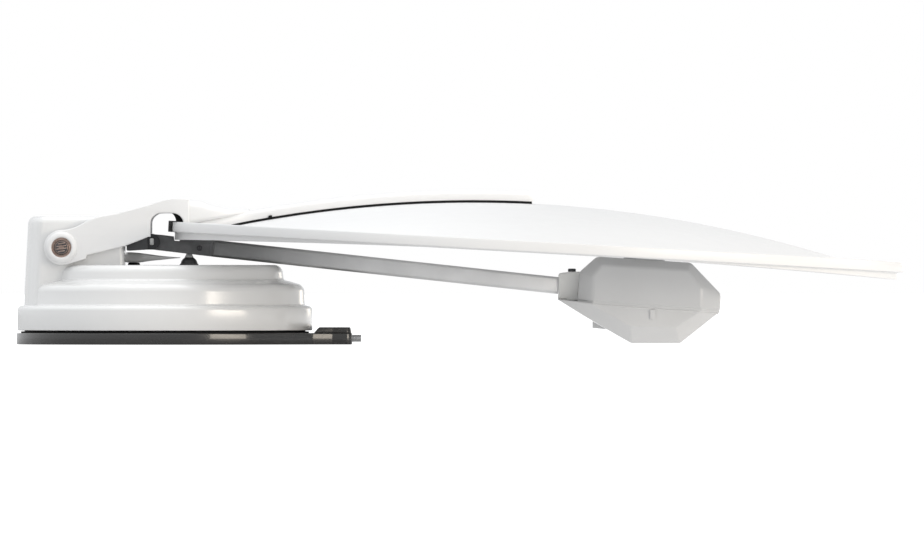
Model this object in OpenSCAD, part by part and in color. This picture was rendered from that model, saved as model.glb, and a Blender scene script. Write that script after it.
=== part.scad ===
// Motorised folding satellite dish antenna for a vehicle roof, in its
// stowed position.  Millimetres.  Origin: azimuth axis at the underside of
// the base plate.  +Z up, +X towards the far end of the folded reflector.

/* [Base] */
// Radius of the round part of the base plate
base_r = 172; // [172:0.5:175]
// Thickness of the base plate
base_h = 13.1; // [12.6:0.1:13.2]
// Length of the connector extension, from the azimuth axis
ext_x = 217; // [215:1:220]
// Height of the top of the extension's cover
cover_z = 19.8; // [18.5:0.1:20.5]
// Pitch circle diameter of the threaded roof inserts
roof_pcd = 290; // [280:5:300]
// Core radius of each threaded roof insert
roof_hole_r = 2.5; // [2:0.1:3]

/* [Housing] */
// Radius of the lowest ring of the housing
ring_r = 171; // [170:0.1:171]
// Radius of the middle step of the housing
mid_r = 162; // [161:0.1:163]
// Radius of the top step of the housing
top_r = 137; // [136:0.1:138]
// Height of the flat top of the housing
top_z = 92; // [91.5:0.1:92.2]
// Wall thickness of the housing
wall = 2.8; // [2.2:0.1:3]
// Height of the tower that carries the elevation axis
tower_z = 148; // [147.5:0.1:149]
// Half of the width of the tower
tower_hw = 70; // [69:0.5:70.5]

/* [Elevation] */
// Distance of the elevation axis behind the azimuth axis
piv_back = 118.9; // [118.5:0.1:119.5]
// Height of the elevation axis
piv_z = 112.2; // [112:0.1:112.6]
// Outer radius of the hub of each fork plate
hub_r = 20.3; // [19.5:0.1:20.4]
// Radius of the elevation shaft
shaft_r = 8; // [7:0.5:9]

/* [Reflector] */
// Half of the length of the reflector
dish_a = 426.5; // [424:0.5:428]
// Half of the width of the reflector
dish_b = 395.5; // [393:0.5:397]
// Depth of the reflector at its centre
dish_deep = 64; // [63:0.5:65]
// Thickness of the reflector's skin
dish_t = 2.5; // [2:0.1:3]
// Slope of the stowed reflector, in degrees
dish_tilt = 3.17; // [3.1:0.01:3.25]

/* [Feed arm] */
// Slope of the stowed feed arm, in degrees
arm_tilt = 6.16; // [6.1:0.01:6.2]
// Outer height of the feed tube
tube_h = 19.6; // [19:0.1:20]
// Outer width of the feed tube
tube_w = 20; // [18:0.5:22]
// Wall of the feed tube
tube_t = 1.6; // [1.2:0.1:2]
// Radius of the fold pin
pin_r = 4; // [3.5:0.1:4.5]

/* [Feed head] */
// Half of the width of the feed head's flat sides
head_hw = 34; // [32:0.5:36]
// Half of the greatest width of the feed head
head_fw = 50; // [48:0.5:52]
// Wall of the feed head's shells
head_t = 2.4; // [2:0.1:2.6]
// Radius of the horn of the receiver
horn_r = 24; // [22:0.5:24.5]

/* [Hidden] */

piv_x = -piv_back;
pin_x = -15.1;
pin_z = 119;
cx = 430;                       // reflector centre, along X
cz = 98.83;                     // its rim plane there
rim_r = 423;                    // where the skin's back meets the rim plane
plate_y0 = 72;                  // inner face of each fork plate
plate_y1 = 82;                  // outer face
hub_y = 86;                     // outer face of each hub
head_x = 556;                   // receiver axis
head_z = 98.1;
head_tilt = 3.74;

// gears
az_m = 2;   az_n = 66;  az_p = 12;  az_dir = -60;
el_m = 2;   el_n = 30;  el_p = 12;  el_dir = -40;
sk_m = 1.5; sk_n = 36;  sk_p = 12;  sk_dir = 0;
az_cd = az_m * (az_n + az_p) / 2;
el_cd = el_m * (el_n + el_p) / 2;
sk_cd = sk_m * (sk_n + sk_p) / 2;
elp_x = piv_x + el_cd * cos(el_dir);
elp_z = piv_z + el_cd * sin(el_dir);
azp_x = az_cd * cos(az_dir);
azp_y = az_cd * sin(az_dir);

function arc(x, y, r, a0, a1, n) =
  [for (i = [0:n]) let (a = a0 + (a1 - a0) * i / n) [x + r * cos(a), y + r * sin(a)]];
function rev(v) = [for (i = [len(v) - 1:-1:0]) v[i]];

// involute tooth flank: polar angle at radius r, from the tooth's middle
pa = 25;
function invo(a) = tan(a) * 180 / PI - a;
function flank(rp, rb, r, half) =
  half + invo(pa) - invo(acos(min(1, rb / max(r, rb))));
function tooth(n, m, k, bl) =
  let (rp = m * n / 2, rb = rp * cos(pa), ra = rp + 0.85 * m, rr = rp - 1.15 * m,
       half = (90 / n) - bl / rp * 90 / PI,
       c = 360 * k / n,
       rs = [max(rb, rr + 0.05), rp, ra])
  concat(
    [[rr * cos(c - flank(rp, rb, rs[0], half) - 0.4), rr * sin(c - flank(rp, rb, rs[0], half) - 0.4)]],
    [for (r = rs) let (f = c - flank(rp, rb, r, half)) [r * cos(f), r * sin(f)]],
    [for (r = rev(rs)) let (f = c + flank(rp, rb, r, half)) [r * cos(f), r * sin(f)]],
    [[rr * cos(c + flank(rp, rb, rs[0], half) + 0.4), rr * sin(c + flank(rp, rb, rs[0], half) + 0.4)]]);
module gear2d(n, m, bl = 0.5) {
  polygon([for (k = [0:n - 1]) each tooth(n, m, k, bl)]);
}

// profile in X and Z, made w wide and centred across Y
module slab(w) rotate([90, 0, 0]) linear_extrude(w, center = true) children();
// the same, from y0 to y1
module slab2(y0, y1) translate([0, y1, 0]) rotate([90, 0, 0]) linear_extrude(y1 - y0) children();
module ycyl(x, z, r, y0, y1) translate([x, y1, z]) rotate([90, 0, 0]) cylinder(r = r, h = y1 - y0, $fn = 64);
module pair() { children(); mirror([0, 1, 0]) children(); }

// ---------------------------------------------------------------- base
function ext_half() = [[100, 120], [115, 127.9], [172, 72], [195, 64], [213, 62.5], [ext_x, 58]];
module base_plate() color("#1c1c1e") difference() {
  union() {
    cylinder(r = base_r, h = base_h, $fn = 128);
    linear_extrude(base_h) polygon(concat(ext_half(), rev([for (p = ext_half()) [p[0], -p[1]]])));
  }
  // pocket under the cover
  translate([180, -50, 2]) cube([31, 100, 14]);
  // holes for the two cable sockets
  for (s = [-1, 1]) translate([205, s * 22, 7]) rotate([0, 90, 0]) cylinder(r = 3.3, h = 20, $fn = 48);
  // blind threaded inserts for the roof bolts
  for (i = [0:5]) rotate(i * 60 + 30) translate([roof_pcd / 2, 0, -1]) cylinder(r = roof_hole_r, h = 10, $fn = 32);
}
module extension_cover() color("#232325") difference() {
  intersection() {
    slab(140) polygon([[172.8, base_h], [178.8, cover_z], [213.5, cover_z], [215.4, cover_z - 1.4], [216.2, base_h]]);
    linear_extrude(40) polygon([[170, 71], [195, 63.2], [212.5, 61.7], [216.4, 57.5],
      [216.4, -57.5], [212.5, -61.7], [195, -63.2], [170, -71]]);
  }
  translate([182, -48, base_h - 1]) cube([28, 96, 4.4]);
  for (x = [188, 206], s = [-1, 1]) translate([x, s * 55, base_h - 1]) cylinder(r = 2.2, h = 10, $fn = 32);
  for (x = [188, 206], s = [-1, 1]) translate([x, s * 55, cover_z - 1.8]) cylinder(r = 4, h = 3, $fn = 48);
}
module cover_screws() color("#8c8e90")
  for (x = [188, 206], s = [-1, 1]) translate([x, s * 55, 0]) difference() {
    union() {
      translate([0, 0, cover_z - 1.8]) cylinder(r = 3.8, h = 1.7, $fn = 48);
      translate([0, 0, base_h]) cylinder(r = 2, h = cover_z - base_h - 1.5, $fn = 32);
    }
    translate([0, 0, cover_z - 1.1]) cylinder(r = 1.6, h = 3, $fn = 6);
  }
module coax_sockets() color("#b9bcbf")
  for (s = [-1, 1]) translate([0, s * 22, 7]) rotate([0, 90, 0]) {
    translate([0, 0, 217.2]) cylinder(r = 4, h = 10.2, $fn = 48);
    translate([0, 0, 204]) cylinder(r = 3.2, h = 14, $fn = 48);
    translate([0, 0, 207]) rotate(30) cylinder(r = 4.9, h = 4, $fn = 6);
  }
module skirt_seal() color("#111112")
  rotate_extrude($fn = 128) polygon([[159, base_h], [167, base_h], [167, 15], [163, 15.2], [161.5, 20], [159, 20]]);
module slew_ring_outer() color("#7d8083")
  rotate_extrude($fn = 96) polygon([[45, base_h], [56, base_h], [56, 24.2], [45, 24.2], [45, 21.1], [48, 21.1], [48, 16.9], [45, 16.9]]);
module ring_gear() color("#d8d4c6")
  translate([0, 0, base_h]) linear_extrude(9) difference() {
    rotate(az_dir) gear2d(az_n, az_m);
    circle(r = 56, $fn = 96);
  }

// ---------------------------------------------------------------- turret
module slew_ring_inner() color("#8b8e91")
  rotate_extrude($fn = 96) polygon([[34, 14], [44.95, 14], [44.95, 17], [47.92, 17], [47.92, 21], [44.95, 21], [44.95, 25], [34, 25]]);
module slew_screws() color("#9a9c9e")
  for (i = [0:5]) rotate(i * 60 + 15) translate([39.5, 0, 28]) difference() {
    cylinder(r = 4.2, h = 4, $fn = 48);
    translate([0, 0, 1.6]) cylinder(r = 2.2, h = 4, $fn = 6);
  }
module turntable() color("#a9acae") difference() {
  translate([0, 0, 25]) cylinder(r = 156, h = 3, $fn = 128);
  translate([0, 0, 24]) cylinder(r = 30, h = 6, $fn = 96);
  translate([azp_x, azp_y, 24]) cylinder(r = 8, h = 6, $fn = 48);
  // lightening holes
  for (a = [20, 100, 255, 340]) rotate(a) translate([118, 0, 24]) cylinder(r = 18, h = 6, $fn = 64);
}

function dome_out() = concat(
  [[0, 16.1], [ring_r, 16.1]],
  arc(ring_r - 5.5, 39.2, 5.5, 0, 75, 5),
  [[mid_r + 1.6, 45.1], [mid_r + 0.4, 46.2]],
  arc(mid_r - 10.5, 60.4, 9.6, 3, 82, 7),
  [[top_r + 2.6, 74.3], [top_r + 0.7, 75.6], [top_r + 0.3, 77]],
  arc(top_r - 10.2, top_z - 10, 10, 0, 90, 7),
  [[0, top_z]]);
function dome_in() = [[0, 10], [ring_r - wall, 10], [ring_r - wall, 38.6], [ring_r - wall - 4.2, 42], [mid_r - wall, 42.4],
  [mid_r - wall - 1.2, 60], [mid_r - wall - 9.5, 67.6], [top_r - wall, 71.6], [top_r - wall, 80.5],
  [top_r - wall - 8.4, top_z - wall], [0, top_z - wall]];
// outline of the tower seen from the side, grown inwards by d
function tower_side(d) = concat(
  [[-163.6 + d, 44], [-158.6 + d, 138 - d], [-156.5 + d, 143.5 - d], [-152.5 + d, 146.8 - d], [-147 + d, tower_z - d]],
  rev(arc(piv_x, piv_z, 72 - d, 0, 29.8, 7)),
  [[-46.6 - d, 44]]);
function tower_plan(d) = concat(
  [for (a = [159:3:201]) [(163.6 - d) * cos(a), (163.6 - d) * sin(a)]],
  [[-147.5 + d, -tower_hw + 5 + d], [-141.5 + d, -tower_hw + 0.6 + d], [-138, -tower_hw + d], [-53, -tower_hw + d], [-48.4 - d, -tower_hw + 2 + d], [-46.4 - d, -tower_hw + 6.5 + d],
   [-46.4 - d, tower_hw - 6.5 - d], [-48.4 - d, tower_hw - 2 - d], [-53, tower_hw - d], [-138, tower_hw - d], [-141.5 + d, tower_hw - 0.6 - d], [-147.5 + d, tower_hw - 5 - d]]);
module housing_shell() color("#eeeeec") difference() {
  union() {
    rotate_extrude($fn = 144) polygon(dome_out());
    intersection() {
      slab(160) polygon(tower_side(0));
      translate([0, 0, 44]) linear_extrude(120) polygon(tower_plan(0));
    }
  }
  difference() {
    rotate_extrude($fn = 144) polygon(dome_in());
    // screw posts
    for (i = [0:5]) rotate(i * 60 + 30) translate([147, 0, 28]) cylinder(r = 5.5, h = 60, $fn = 48);
  }
  intersection() {
    slab(160) polygon(concat(tower_side(wall)));
    translate([0, 0, 50]) linear_extrude(120) polygon(tower_plan(wall));
  }
  // clearance for the bushes
  ycyl(piv_x, piv_z, 12.4, -90, 90);
  for (i = [0:5]) rotate(i * 60 + 30) translate([147, 0, 20]) cylinder(r = 1.6, h = 22, $fn = 32);
}
module housing_screws() color("#9a9c9e")
  for (i = [0:5]) rotate(i * 60 + 30) translate([147, 0, 0]) {
    translate([0, 0, 22.6]) cylinder(r = 3.6, h = 2.4, $fn = 48);
  }

module elevation_frame() color("#a4a7aa") difference() {
  union() {
    pair() slab2(48, 52) polygon([[-142, 31], [-142, 96], [-134, 126], [-126, 130], [-111, 130], [-100, 126], [-66, 96], [-66, 31]]);
    translate([-142, -52, 28]) cube([76, 104, 3]);
  }
  ycyl(piv_x, piv_z, 12, -60, 60);
  ycyl(elp_x, elp_z, 5, -60, -40);
}
module elevation_bushes() color("#a9713f") pair() difference() {
  union() {
    ycyl(piv_x, piv_z, 12, 46, 71);
    ycyl(piv_x, piv_z, 15, 46, 48);
  }
  ycyl(piv_x, piv_z, shaft_r + 0.05, 40, 80);
}
module elevation_motor() color("#6d7073") difference() {
  union() {
    ycyl(elp_x, elp_z, 18, -48, -10);
    ycyl(elp_x, elp_z, 16, -10, 8);
    ycyl(elp_x, elp_z, 5, 8, 12);
  }
  ycyl(elp_x, elp_z, 3.05, -2, 13);
}
module elevation_pinion() color("#c8a24a") {
  translate([elp_x, 24, elp_z]) rotate([90, 0, 0]) linear_extrude(10) rotate(el_dir + 180 + 180 / el_p) gear2d(el_p, el_m);
  ycyl(elp_x, elp_z, 3, 0, 15);
}
module azimuth_motor() color("#6d7073") translate([azp_x, azp_y, 0]) difference() {
  union() {
    translate([0, 0, 28]) cylinder(r = 18, h = 30, $fn = 64);
    translate([0, 0, 58]) cylinder(r = 15.5, h = 22, $fn = 64);
  }
  translate([0, 0, 27]) cylinder(r = 3.05, h = 13, $fn = 48);
}
module azimuth_pinion() color("#c8a24a") translate([azp_x, azp_y, 0]) {
  translate([0, 0, 14.2]) linear_extrude(7.6) rotate(az_dir + 180 + 180 / az_p) gear2d(az_p, az_m);
  translate([0, 0, 15]) cylinder(r = 3, h = 24, $fn = 48);
}
module control_board() color("#2f6b3f") {
  translate([20, 20, 34]) cube([86, 62, 1.6]);
  translate([30, 30, 35.6]) cube([20, 20, 3]);
  translate([60, 28, 35.6]) cube([14, 10, 8]);
  translate([82, 60, 35.6]) cube([18, 14, 11]);
  translate([34, 64, 35.6]) cylinder(r = 5, h = 12, $fn = 48);
  translate([48, 64, 35.6]) cylinder(r = 5, h = 12, $fn = 48);
}
module board_standoffs() color("#b9bcbf")
  for (x = [25, 101], y = [25, 77]) translate([x, y, 28]) cylinder(r = 3, h = 6, $fn = 32);
module cable_guide() color("#e3e4e4") slab(18)
  polygon([[-46.4, 95.5], [-46.4, 106.6], [-43.5, 106.8], [-20, 104.3], [4, 101.9], [18, 100.9], [18, 100.1], [8, 99.4], [-12, 97.2], [-27, 94.8], [-43, 94.7]]);
module guide_grommet() color("#161617") translate([-36, 0, top_z]) cylinder(r = 7, h = 2.65, $fn = 64);
module bumper_pad() color("#3b3c3e") translate([28, 0, top_z]) difference() {
  rotate_extrude($fn = 64) polygon(concat([[0, 0], [11.6, 0], [11.6, 1]], arc(0, 0, 10.7, 6, 64, 8), [[0, 9.6]]));
  translate([0, 0, -1]) cylinder(r = 4, h = 20, $fn = 48);
}
module bumper_stem() color("#9b9d9f") translate([28, 0, top_z]) {
  cylinder(r = 4, h = 11.2, $fn = 48);
  translate([0, 0, 11.2]) cylinder(r = 3.3, h = 0.8, $fn = 48);
}

// ---------------------------------------------------------------- fork and reflector
module dish_frame() translate([cx, 0, cz]) rotate([0, dish_tilt, 0]) children();
// height of the skin's back above the rim plane
function back(r) = dish_deep * (1 - pow(r / rim_r, 2));
function prof(d, r0, r1) = [for (i = [0:20]) let (r = r0 + (r1 - r0) * i / 20) [r, back(r) + d]];
module bowl(d0, d1, r1) rotate_extrude($fn = 180) polygon(concat(prof(d0, 0, r1), rev(prof(d1, 0, r1))));
module below(d) rotate_extrude($fn = 180) polygon(concat([[0, -80], [440, -80], [440, back(440) + d]], rev(prof(d, 0, 424))));
function oval(d) = [for (i = [0:79]) [(dish_a - d) * cos(i * 4.5), (dish_b - d) * sin(i * 4.5)]];
module reflector() color("#f1f1f0") dish_frame() union() {
  intersection() {
    bowl(-dish_t, 0, 424);
    translate([0, 0, -20]) linear_extrude(120) polygon(oval(7));
  }
  difference() {
    translate([0, 0, -1.4]) linear_extrude(11.8) polygon(oval(7));
    translate([0, 0, -5]) linear_extrude(20) polygon(oval(9.6));
    below(-dish_t);
  }
  translate([0, 0, 8]) linear_extrude(2.4) difference() {
    polygon(oval(0));
    polygon(oval(8));
  }
  translate([0, 0, 8]) linear_extrude(12) difference() {
    polygon(oval(0));
    polygon(oval(2.6));
  }
}
// plan of the rib, in the reflector's own frame
function rib_half(d) = [[-401 + d, 74 - d], [-372, 72 - d], [-330, 58 - d], [-200, 47 - d], [-60, 42 - d], [-14, 40 - d], [-7 - d, 33 - d]];
module rib_plan(d) polygon(concat(rib_half(d), rev([for (p = rib_half(d)) [p[0], -p[1]]])));
module back_rib() color("#f0f0ef") dish_frame() intersection() {
  bowl(2, 14, 424);
  linear_extrude(120) rib_plan(0);
}
module rib_gasket() color("#141415") dish_frame() intersection() {
  bowl(0, 2, 424);
  linear_extrude(120) rib_plan(1);
}
module rim_buffer() color("#161617") union() {
  // rubber strip round the end of the rim, under the fork's bridge
  dish_frame() intersection() {
    translate([-440, -58, 8.2]) cube([40, 116, 12.8]);
    union() {
      linear_extrude(30) difference() { polygon(oval(-1.1)); polygon(oval(-0.3)); }
      translate([0, 0, 20.1]) linear_extrude(0.9) difference() { polygon(oval(-1.1)); polygon(oval(12)); }
    }
  }
  slab(116) polygon([[13.4, 142.2], [13.2, 144.8], [12.2, 147.6], [10.4, 150.3], [7.6, 152.4], [9, 153.9], [15.7, 151.1], [21.4, 143.2], [21.4, 142]]);
}
module rib_bolts() color("#8b8d90") dish_frame()
  for (x = [-330, -60], s = [-1, 1]) translate([x, s * 26, back(sqrt(x * x + 26 * 26))]) rotate([0, atan(-2 * dish_deep * x / (rim_r * rim_r)) * -1, 0])
    translate([0, 0, -dish_t - 3.4]) cylinder(r = 6, h = 3.2, $fn = 48);

function arm_top() = [[-118.9, piv_z + hub_r], [-108, 134.2], [-98.6, 137.6], [-88, 143.4], [-80, 146.8], [-72, 148.8], [-56.8, 151.1], [-42.9, 155.2], [-22, 160.4],
  [-8.1, 165.1], [4, 168.4], [12.8, 169.1], [29, 168]];
function arm_low() = [[28, 141], [22, 141], [21.2, 144.6], [18.6, 148], [14.5, 150.6], [9, 151.7], [-4, 151.7], [-8.6, 150.4], [-12.6, 147.4], [-15, 143.6], [-15.7, 139.5],
  [-15.7, 124.8], [-18.6, 124.5], [-25.5, 121.6], [-46.4, 113.4], [-89.3, 103.2], [-90, 99.2], [-104, 95], [-118.9, piv_z - hub_r]];
module arm_plate() difference() {
  union() {
    slab2(plate_y0, plate_y1) polygon(concat(arm_top(), arm_low()));
    ycyl(piv_x, piv_z, hub_r, plate_y0, hub_y);
  }
  ycyl(piv_x, piv_z, 12.4, 77, 90);
  ycyl(piv_x, piv_z, shaft_r, 60, 90);
}
module yoke_arm() color("#ecedec") difference() {
  union() {
    arm_plate();
    mirror([0, 1, 0]) arm_plate();
    // bridge between the two plates, and the block that the rib starts from
    slab(2 * plate_y1) polygon([[-20, 154.4], [-20, 160.9], [-8.1, 165.1], [4, 168.4], [12.8, 169.1], [29, 168], [28.5, 141], [22, 143], [16, 151.2], [9, 154.4]]);
    intersection() {
      slab(2 * 76) polygon([[24, 130], [24, 168.2], [40.6, 166.8], [46, 165.4], [50.5, 162.7], [57, 161.4], [64, 159.4], [71, 158], [78, 157.2], [90, 157], [98, 157.2], [98, 130]]);
      linear_extrude(200) polygon([[20, 76], [62, 76], [76, 68], [98, 54], [98, -54], [76, -68], [62, -76], [20, -76]]);
    }
  }
  dish_frame() below(14);
}
module elevation_shaft() color("#b58a63") difference() {
  ycyl(piv_x, piv_z, shaft_r, -83.6, 83.6);
  pair() ycyl(piv_x, piv_z, 3.2, 80.5, 90);
}
module shaft_collars() color("#9c6f50") pair() difference() {
  ycyl(piv_x, piv_z, 12.35, 77, 82.4);
  ycyl(piv_x, piv_z, shaft_r, 70, 90);
  difference() {
    ycyl(piv_x, piv_z, 11, 81.4, 90);
    ycyl(piv_x, piv_z, 9.6, 80, 91);
  }
}
module elevation_gear() color("#d8d4c6") translate([piv_x, 24, piv_z]) rotate([90, 0, 0]) linear_extrude(10) difference() {
  rotate(el_dir) gear2d(el_n, el_m);
  circle(r = shaft_r, $fn = 64);
}
module hinge_bracket() color("#3a3c3f") difference() {
  union() {
    slab(144) polygon([[-43.6, 108.4], [-43.6, 113.8], [-27, 120.2], [-25.6, 109.6]]);
    pair() slab2(67.5, 72) polygon([[-43.6, 108.4], [-43.6, 134], [-22, 140], [-20, 123], [-19, 110]]);
    pair() slab2(13, 18) polygon(concat([[-43.6, 108.4], [-43.6, 113.8], [-22, 124.6]], rev(arc(pin_x, pin_z, 9.2, -86, 105, 12))));
  }
  ycyl(pin_x, pin_z, pin_r, -30, 30);
}
module feed_pin() color("#c9cbcd") {
  ycyl(pin_x, pin_z, pin_r, -19.4, 32);
  ycyl(pin_x, pin_z, 6, 32, 34);
}
module feed_spring() color("#7f8285") {
  for (i = [0:4]) translate([pin_x, 19.6 + 2.4 * i, pin_z]) rotate([90, 0, 0]) rotate_extrude($fn = 48) translate([5.6, 0]) circle(r = 1.25, $fn = 24);
  translate([-25.8, 19.6, pin_z - 5.6]) rotate([0, 90, 0]) cylinder(r = 1.2, h = -15.1 + 25.8, $fn = 24);
}

// ---------------------------------------------------------------- feed arm
module arm_frame() translate([pin_x, 0, pin_z]) rotate([0, arm_tilt, 0]) children();
module feed_hinge() color("#4a4c4f") difference() {
  union() {
    slab(24) polygon(concat(arc(pin_x, pin_z, 9, 260, 75, 12), [[8, 125.5], [10.2, 125.2], [11, 120.2], [17, 119.9], [17.4, 121], [22.6, 121], [23.2, 122.9], [57.6, 120.9], [55.6, 101.6]]));
    arm_frame() translate([71, -tube_w / 2 + tube_t, -tube_h / 2 + tube_t]) cube([46, tube_w - 2 * tube_t, tube_h - 2 * tube_t]);
  }
  ycyl(pin_x, pin_z, pin_r + 0.05, -30, 30);
  // shallow panel on each cheek
  pair() slab2(11.2, 13) polygon([[31.5, 104.6], [32, 116.4], [53, 117.6], [51.5, 103]]);
}
module feed_tube() color("#a3a5a7") arm_frame() difference() {
  translate([72.2, -tube_w / 2, -tube_h / 2]) cube([402.4, tube_w, tube_h]);
  translate([60, -tube_w / 2 + tube_t, -tube_h / 2 + tube_t]) cube([420, tube_w - 2 * tube_t, tube_h - 2 * tube_t]);
}
module hinge_bolts() color("#2a2b2d") pair() {
  difference() { ycyl(40.3, 111.6, 3.2, 11.2, 13); ycyl(40.3, 111.6, 1.5, 12, 14); }
}
module head_neck() color("#b4b6b7") difference() {
  slab(30) polygon([[456.4, 82.6], [456.4, 59], [455.2, 54], [477.9, 50.8], [480.4, 84], [470, 84.2]]);
  arm_frame() translate([440, -tube_w / 2, -tube_h / 2]) cube([34.6, tube_w, tube_h]);
}
module neck_screw() color("#77797b") {
  translate([472, 0, 84.2]) cylinder(r = 4.6, h = 3.7, $fn = 48);
}

// slope of the joint between the two shells
part_slope = (50.4 - 38.5) / (643.7 - 478);
function head_up(d) = [[478 + d, 50.4 - d * part_slope], [480.6 + d, 84 - d * 0.4], [501.1 + d * 0.5, 101.8 - d], [609.8 - d * 0.5, 94.7 - d], [644.4 - d, 58.3 - d * 0.4], [643.7 - d, 38.5 + d * part_slope]];
function drop(v) = [for (p = v) [p[0], p[1] < 51 ? p[1] - 3 : p[1]]];
function head_lo(d) = [[478 + d, 50.2], [454.7 + 1.6 * d, 52.2], [485.3 + d * 0.7, 33.4 + d], [522 + d * 0.6, 11.9 + d], [540.6 + d * 0.4, 1.4 + d], [597.4 - d * 0.4, 1.4 + d], [643.7 - d, 38.3]];
module head_frame() translate([head_x, 0, head_z]) rotate([0, head_tilt, 0]) children();
module head_upper_shell() color("#bdbfc0") difference() {
  hull() { slab(2 * head_hw) polygon(head_up(0)); slab(2 * head_fw) polygon(head_up(14)); }
  intersection() {
    hull() { slab(2 * head_hw - 2) polygon(drop(head_up(head_t))); slab(2 * head_fw - 2 * head_t) polygon(drop(head_up(14 + head_t * 0.8))); }
    translate([470, -60, 30]) cube([200, 120, 80]);
  }
  head_frame() translate([0, 0, -30]) cylinder(r = horn_r + 2, h = 60, $fn = 64);
}
module head_lower_shell() color("#c9cbcc") difference() {
  hull() { slab(2 * head_hw - 4) polygon(head_lo(0)); slab(2 * head_fw) polygon([[492, 49], [536, 25], [598, 22], [629.7, 39.2]]); }
  hull() { slab(2 * head_hw - 8) polygon([for (p = head_lo(head_t)) [p[0], p[1] > 36 ? p[1] + 3 : p[1]]]); slab(2 * head_fw - 2 * head_t) polygon([[494, 53], [537, 27.4], [597, 24.4], [627, 44]]); }
}
module head_latches() color("#b0b2b3") pair() translate([562.5, head_fw, 29.5]) cube([6, 2, 10.5]);
module head_gland() color("#a9abac") slab(16) polygon([[495.9, 26.9], [495.9, 19], [511, 17.6], [511.6, 17.8]]);
module receiver() color("#8f9193") head_frame() difference() {
  union() {
    translate([0, 0, -30]) cylinder(r = horn_r, h = 41, $fn = 64);
    translate([0, 0, -62]) cylinder(r = 17, h = 32, $fn = 64);
  }
  translate([0, 0, -20]) cylinder(r = 15, h = 40, $fn = 64);
}
module horn_cap() color("#e9e9e7") head_frame() rotate_extrude($fn = 64)
  polygon([[0, 11], [horn_r, 11], [horn_r, 12.4], [horn_r - 1.6, 13.6], [0, 14.6]]);
module skew_gear() color("#d8d4c6") head_frame() translate([0, 0, -40]) linear_extrude(7) difference() {
  rotate(sk_dir) gear2d(sk_n, sk_m);
  circle(r = 17, $fn = 64);
}
module skew_pinion() color("#c8a24a") head_frame() translate([sk_cd * cos(sk_dir), sk_cd * sin(sk_dir), 0]) {
  translate([0, 0, -39.5]) linear_extrude(6) rotate(sk_dir + 180 + 180 / sk_p) gear2d(sk_p, sk_m);
  translate([0, 0, -55]) cylinder(r = 2.5, h = 16, $fn = 32);
}
module skew_motor() color("#6d7073") head_frame() translate([sk_cd * cos(sk_dir), sk_cd * sin(sk_dir), 0]) difference() {
  translate([0, 0, -69]) cylinder(r = 12, h = 27, $fn = 48);
  translate([0, 0, -56]) cylinder(r = 2.55, h = 20, $fn = 32);
}

base_plate();
extension_cover();
cover_screws();
coax_sockets();
skirt_seal();
slew_ring_outer();
ring_gear();
slew_ring_inner();
slew_screws();
turntable();
housing_shell();
housing_screws();
elevation_frame();
elevation_bushes();
elevation_motor();
elevation_pinion();
azimuth_motor();
azimuth_pinion();
control_board();
board_standoffs();
cable_guide();
guide_grommet();
bumper_pad();
bumper_stem();
yoke_arm();
elevation_shaft();
shaft_collars();
elevation_gear();
back_rib();
rib_gasket();
reflector();
rim_buffer();
rib_bolts();
hinge_bracket();
feed_pin();
feed_spring();
feed_hinge();
feed_tube();
hinge_bolts();
head_neck();
neck_screw();
head_upper_shell();
head_lower_shell();
head_latches();
head_gland();
receiver();
horn_cap();
skew_gear();
skew_pinion();
skew_motor();
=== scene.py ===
import bpy, bmesh, math
from mathutils import Vector, Matrix
from mathutils.bvhtree import BVHTree


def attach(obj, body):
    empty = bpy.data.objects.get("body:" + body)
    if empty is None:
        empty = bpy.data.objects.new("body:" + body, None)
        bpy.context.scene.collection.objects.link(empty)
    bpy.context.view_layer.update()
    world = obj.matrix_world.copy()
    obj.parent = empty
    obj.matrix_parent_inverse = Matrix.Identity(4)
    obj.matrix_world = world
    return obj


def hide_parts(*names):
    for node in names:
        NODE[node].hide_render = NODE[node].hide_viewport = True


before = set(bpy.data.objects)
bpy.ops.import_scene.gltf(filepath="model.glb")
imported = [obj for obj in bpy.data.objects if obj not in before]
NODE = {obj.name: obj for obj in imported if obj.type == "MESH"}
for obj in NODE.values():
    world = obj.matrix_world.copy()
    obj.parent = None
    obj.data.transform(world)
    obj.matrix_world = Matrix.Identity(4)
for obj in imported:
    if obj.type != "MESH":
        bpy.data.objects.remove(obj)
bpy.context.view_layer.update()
MM = 0.001
TAU = 2 * math.pi


# ------------------------------------------------------------------ sizes, all mm
PIV = (-118.9, 112.2)
PIN = (-15.1, 119.0)
HUB_R = 20.3
DISH_A, DISH_B, DEEP, RIM_R = 426.5, 395.5, 64.0, 423.0
DISH = Matrix.Translation((0.430, 0, 0.09883)) @ Matrix.Rotation(math.radians(3.17), 4, "Y")
ARM = Matrix.Translation((PIN[0] * MM, 0, PIN[1] * MM)) @ Matrix.Rotation(math.radians(6.16), 4, "Y")
HEAD = Matrix.Translation((0.556, 0, 0.0981)) @ Matrix.Rotation(math.radians(3.74), 4, "Y")


# ------------------------------------------------------------------ mesh helpers
def arc(cx, cy, r, a0, a1, n):
    return [(cx + r * math.cos(math.radians(a0 + (a1 - a0) * i / n)),
             cy + r * math.sin(math.radians(a0 + (a1 - a0) * i / n))) for i in range(n + 1)]


def spline(pts, per=6):
    """Catmull-Rom through the points, ends kept."""
    out = []
    n = len(pts)
    for i in range(n - 1):
        p0 = pts[max(i - 1, 0)]; p1 = pts[i]; p2 = pts[i + 1]; p3 = pts[min(i + 2, n - 1)]
        for k in range(per):
            t = k / per
            out.append(tuple(0.5 * (2 * p1[j] + (p2[j] - p0[j]) * t + (2 * p0[j] - 5 * p1[j] + 4 * p2[j] - p3[j]) * t * t
                                    + (3 * p1[j] - p0[j] - 3 * p2[j] + p3[j]) * t ** 3) for j in range(2)))
    out.append(tuple(pts[-1]))
    return out


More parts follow.
